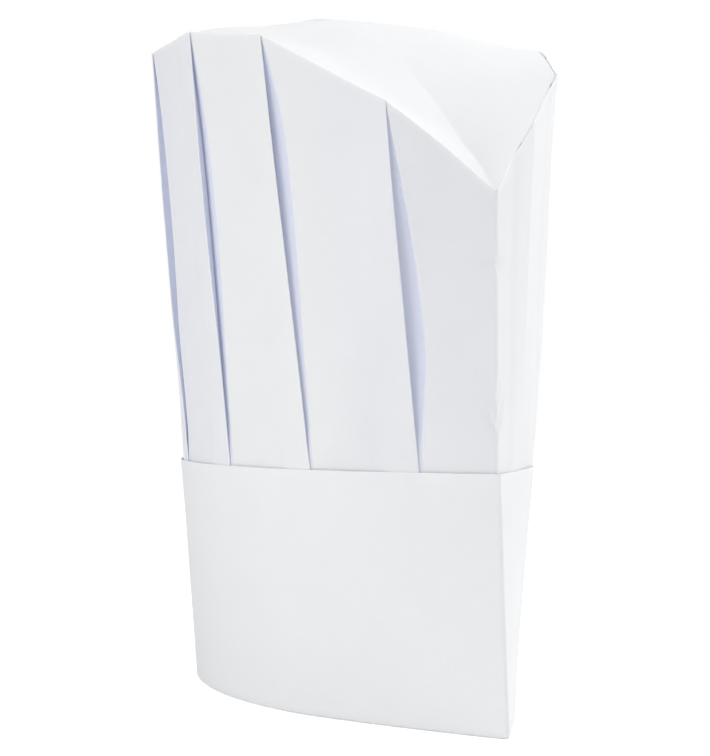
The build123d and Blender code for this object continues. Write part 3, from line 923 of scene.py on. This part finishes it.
class AddSweatband(bpy.types.Operator):
    """Lay the soft sweatband along the lining"""

    bl_idname = "toque.add_sweatband"
    bl_label = "Sweatband"

    def execute(self, context):
        sizes = context.scene.toque_sizes
        strip = sweatband_sheet(Form(sizes))
        colour = tuple(context.scene.toque_colours.sweatband)
        felt = soft_material("sweatband_felt", colour, colour, cloud_size=90.0, fibre_size=1500.0,
                             shading=0.05, bump=0.9, rough=0.92)
        finish_sheet(strip, sizes.sweatband, [felt], bevel=0.0003)
        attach(strip, BODY)
        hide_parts("sweatband")
        return {"FINISHED"}


class AddGlue(bpy.types.Operator):
    """Run the six glue lines between the sheets"""

    bl_idname = "toque.add_glue"
    bl_label = "Glue lines"

    def execute(self, context):
        sizes = context.scene.toque_sizes
        form = Form(sizes)
        margin = 4 * MM
        keep = 2 * MM
        end = form.pleats + 1
        ring = band_places(form)
        ring += [(LEFT, (end, 0, run)) for run in spread(form.lap_start, form.lap_end, 4)]
        lap = [(LEFT, (end, 0, run)) for run in spread(form.lap_start + keep, form.lap_end - keep, 5)]
        tuck = spread(form.tuck_foot + margin, form.band_height - margin, 6)
        bead = form.lining - sizes.band_paper / 2 - sizes.glue / 2
        under_ply = sizes.band_paper + sizes.glue / 2
        dabs = []
        for side in (RIGHT, LEFT):
            for pleat in range(1, end):
                stations = [(side, (pleat, 0, run)) for run in spread(keep - form.pleat_fold, -keep, 4)]
                dabs.append(glue_grid(form, "crown_glue_dab", stations, under_ply, tuck))
        pick(dabs[0])
        for dab in dabs:
            dab.select_set(True)
        bpy.ops.object.join()
        dabs[0].name = "crown_glue_dabs"
        lines = [(dabs[0], "crown_outer_glue", sizes.glue)]
        levels = spread(form.tuck_foot + margin, form.lining_height - margin, 5)
        line = glue_grid(form, "lining_glue_bead", ring, bead, levels)
        lines.append((line, "crown_lining_glue", sizes.glue))
        levels = [lambda side, place, drop=drop: form.rim(side, place) - drop
                  for drop in spread(form.hem - margin, margin, 4)]
        line = glue_grid(form, "hem_glue_bead", ring, bead, levels, pressed=True)
        lines.append((line, "top_glue", sizes.glue))
        levels = [lambda side, place, share=share:
                  mix(form.band_height, form.rim(side, place) - margin, share)
                  for share in spread(0, 1, 20)]
        line = glue_grid(form, "crown_seam_line", lap, (form.base + form.middle) / 2, levels)
        lines.append((line, "crown_seam_glue", sizes.ply_gap))
        levels = spread(margin, form.band_height - margin, 12)
        line = glue_grid(form, "band_seam_line", lap, -sizes.glue / 2, levels)
        lines.append((line, "band_seam_glue", sizes.glue))
        low = sizes.sweatband_foot + margin
        high = sizes.sweatband_foot + sizes.sweatband_height - margin
        inset = form.lining + sizes.band_paper / 2 + sizes.glue / 2
        line = glue_grid(form, "sweatband_glue_line", forehead_places(form), inset, spread(low, high, 6))
        lines.append((line, "sweatband_glue", sizes.glue))
        colour = tuple(context.scene.toque_colours.glue)
        dried = soft_material("dried_glue", colour, colour, cloud_size=120.0, fibre_size=700.0,
                              shading=0.08, bump=0.7, rough=0.45)
        filled = 0.9
        for line, node, thickness in lines:
            finish_sheet(line, thickness * filled, [dried], merge=0.000001)
            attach(line, BODY)
            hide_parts(node)
        return {"FINISHED"}


class SetStage(bpy.types.Operator):
    """Lay the floor and set the lamps, the world and the camera"""

    bl_idname = "toque.set_stage"
    bl_label = "Stage"

    def execute(self, context):
        scene = context.scene
        scene.view_settings.view_transform = "Standard"
        pick_none()
        bpy.ops.mesh.primitive_plane_add(size=8.0, location=(0, 0, CAD_BOX[0][2] - 0.0002))
        floor = context.active_object
        floor.name = "studio_floor"
        bpy.ops.object.transform_apply(location=True, rotation=True, scale=True)
        floor.data.materials.append(floor_material(tuple(scene.toque_colours.floor)))
        set_world(scene)
        add_lamp("key_lamp", place=(1.3, -0.55, 0.60), aim=0.15, size=1.2, power=8.7)
        add_lamp("fill_lamp", place=(-1.47, -0.45, 0.18), aim=0.10, size=1.2, power=7.0)
        add_lamp("top_lamp", place=(0.2, -0.3, 1.7), aim=0.25, size=1.4, power=11.4)
        add_lamp("foot_lamp", place=(-0.62, -0.30, 0.06), aim=0.03, size=0.3, power=0.9)
        add_camera(scene)
        return {"FINISHED"}


def floor_material(colour):
    """Pale floor that looks white where it is lit and keeps the object's shadow."""
    material = bpy.data.materials.new("studio_floor")
    material.use_nodes = True
    tree = material.node_tree
    link = tree.links.new
    surface = tree.nodes["Principled BSDF"]
    surface.inputs["Base Color"].default_value = (*colour, 1)
    surface.inputs["Roughness"].default_value = 0.95
    surface.inputs["Specular IOR Level"].default_value = 0.0
    ray = add_node(tree, "ShaderNodeLightPath")
    seen = white_seen(tree, ray)
    lift = add_node(tree, "ShaderNodeMath", operation="MULTIPLY", in1=FLOOR_LIFT)
    link(seen, lift.inputs[0])
    surface.inputs["Emission Color"].default_value = (1, 1, 1, 1)
    link(lift.outputs[0], surface.inputs["Emission Strength"])
    return material


def white_seen(tree, ray):
    """1 for the rays that see the backdrop: from the camera, in gloss and through clear pieces."""
    first = add_node(tree, "ShaderNodeMath", operation="MAXIMUM")
    second = add_node(tree, "ShaderNodeMath", operation="MAXIMUM")
    tree.links.new(ray.outputs["Is Camera Ray"], first.inputs[0])
    tree.links.new(ray.outputs["Is Glossy Ray"], first.inputs[1])
    tree.links.new(first.outputs[0], second.inputs[0])
    tree.links.new(ray.outputs["Is Transmission Ray"], second.inputs[1])
    return second.outputs[0]


def set_world(scene):
    """Even studio light all round, white where it is seen."""
    world = bpy.data.worlds.new("studio_light")
    scene.world = world
    world.use_nodes = True
    tree = world.node_tree
    link = tree.links.new
    light = tree.nodes["Background"]
    ray = add_node(tree, "ShaderNodeLightPath")
    seen = white_seen(tree, ray)
    colour = add_node(tree, "ShaderNodeMix", data_type="RGBA", in6=(*WORLD_LIGHT, 1), in7=(1, 1, 1, 1))
    link(seen, colour.inputs[0])
    link(colour.outputs[2], light.inputs["Color"])
    light.inputs["Strength"].default_value = 1.0


def add_lamp(name, place, aim, size, power):
    """A soft square lamp that points at the hat's axis, at the height of its aim."""
    lamp = bpy.data.lights.new(name, "AREA")
    lamp.shape = "SQUARE"
    lamp.size = size
    lamp.energy = power
    held = bpy.data.objects.new(name, lamp)
    held.location = place
    held.rotation_euler = (Vector((0, 0, aim)) - Vector(place)).to_track_quat("-Z", "Y").to_euler()
    bpy.context.collection.objects.link(held)


def add_camera(scene):
    """A camera a little below the middle of the hat, off its front right."""
    lens = bpy.data.cameras.new("camera")
    lens.sensor_fit = "HORIZONTAL"
    lens.sensor_width = 36.0
    lens.lens = 76.06
    camera = bpy.data.objects.new("camera", lens)
    camera.location = (-0.31775, -0.60527, 0.13175)
    camera.rotation_euler = (radians(90.48666), radians(-0.30148), radians(-27.86567))
    bpy.context.collection.objects.link(camera)
    scene.camera = camera


class ToquePanel(bpy.types.Panel):
    """The toque's sizes, colours and pieces"""

    bl_idname = "VIEW3D_PT_toque"
    bl_label = "Toque"
    bl_space_type = "VIEW_3D"
    bl_region_type = "UI"
    bl_category = "Toque"

    def draw(self, context):
        for group in (context.scene.toque_sizes, context.scene.toque_colours):
            box = self.layout.box()
            for key in group.__annotations__:
                box.prop(group, key)
        for step in STEPS:
            self.layout.operator(step.bl_idname)


STEPS = (SetStage, AddHeadband, AddCrown, AddTopPanel, AddSweatband, AddGlue)
CLASSES = (ToqueSizes, ToqueColours) + STEPS + (ToquePanel,)


def register():
    for kind in CLASSES:
        bpy.utils.register_class(kind)
    bpy.types.Scene.toque_sizes = PointerProperty(type=ToqueSizes)
    bpy.types.Scene.toque_colours = PointerProperty(type=ToqueColours)


def unregister():
    del bpy.types.Scene.toque_colours
    del bpy.types.Scene.toque_sizes
    for kind in reversed(CLASSES):
        bpy.utils.unregister_class(kind)


def main():
    """Build the toque."""
    register()
    bpy.ops.toque.set_stage()
    bpy.ops.toque.add_headband()
    bpy.ops.toque.add_crown()
    bpy.ops.toque.add_top_panel()
    bpy.ops.toque.add_sweatband()
    bpy.ops.toque.add_glue()


if __name__ == "__main__":
    main()
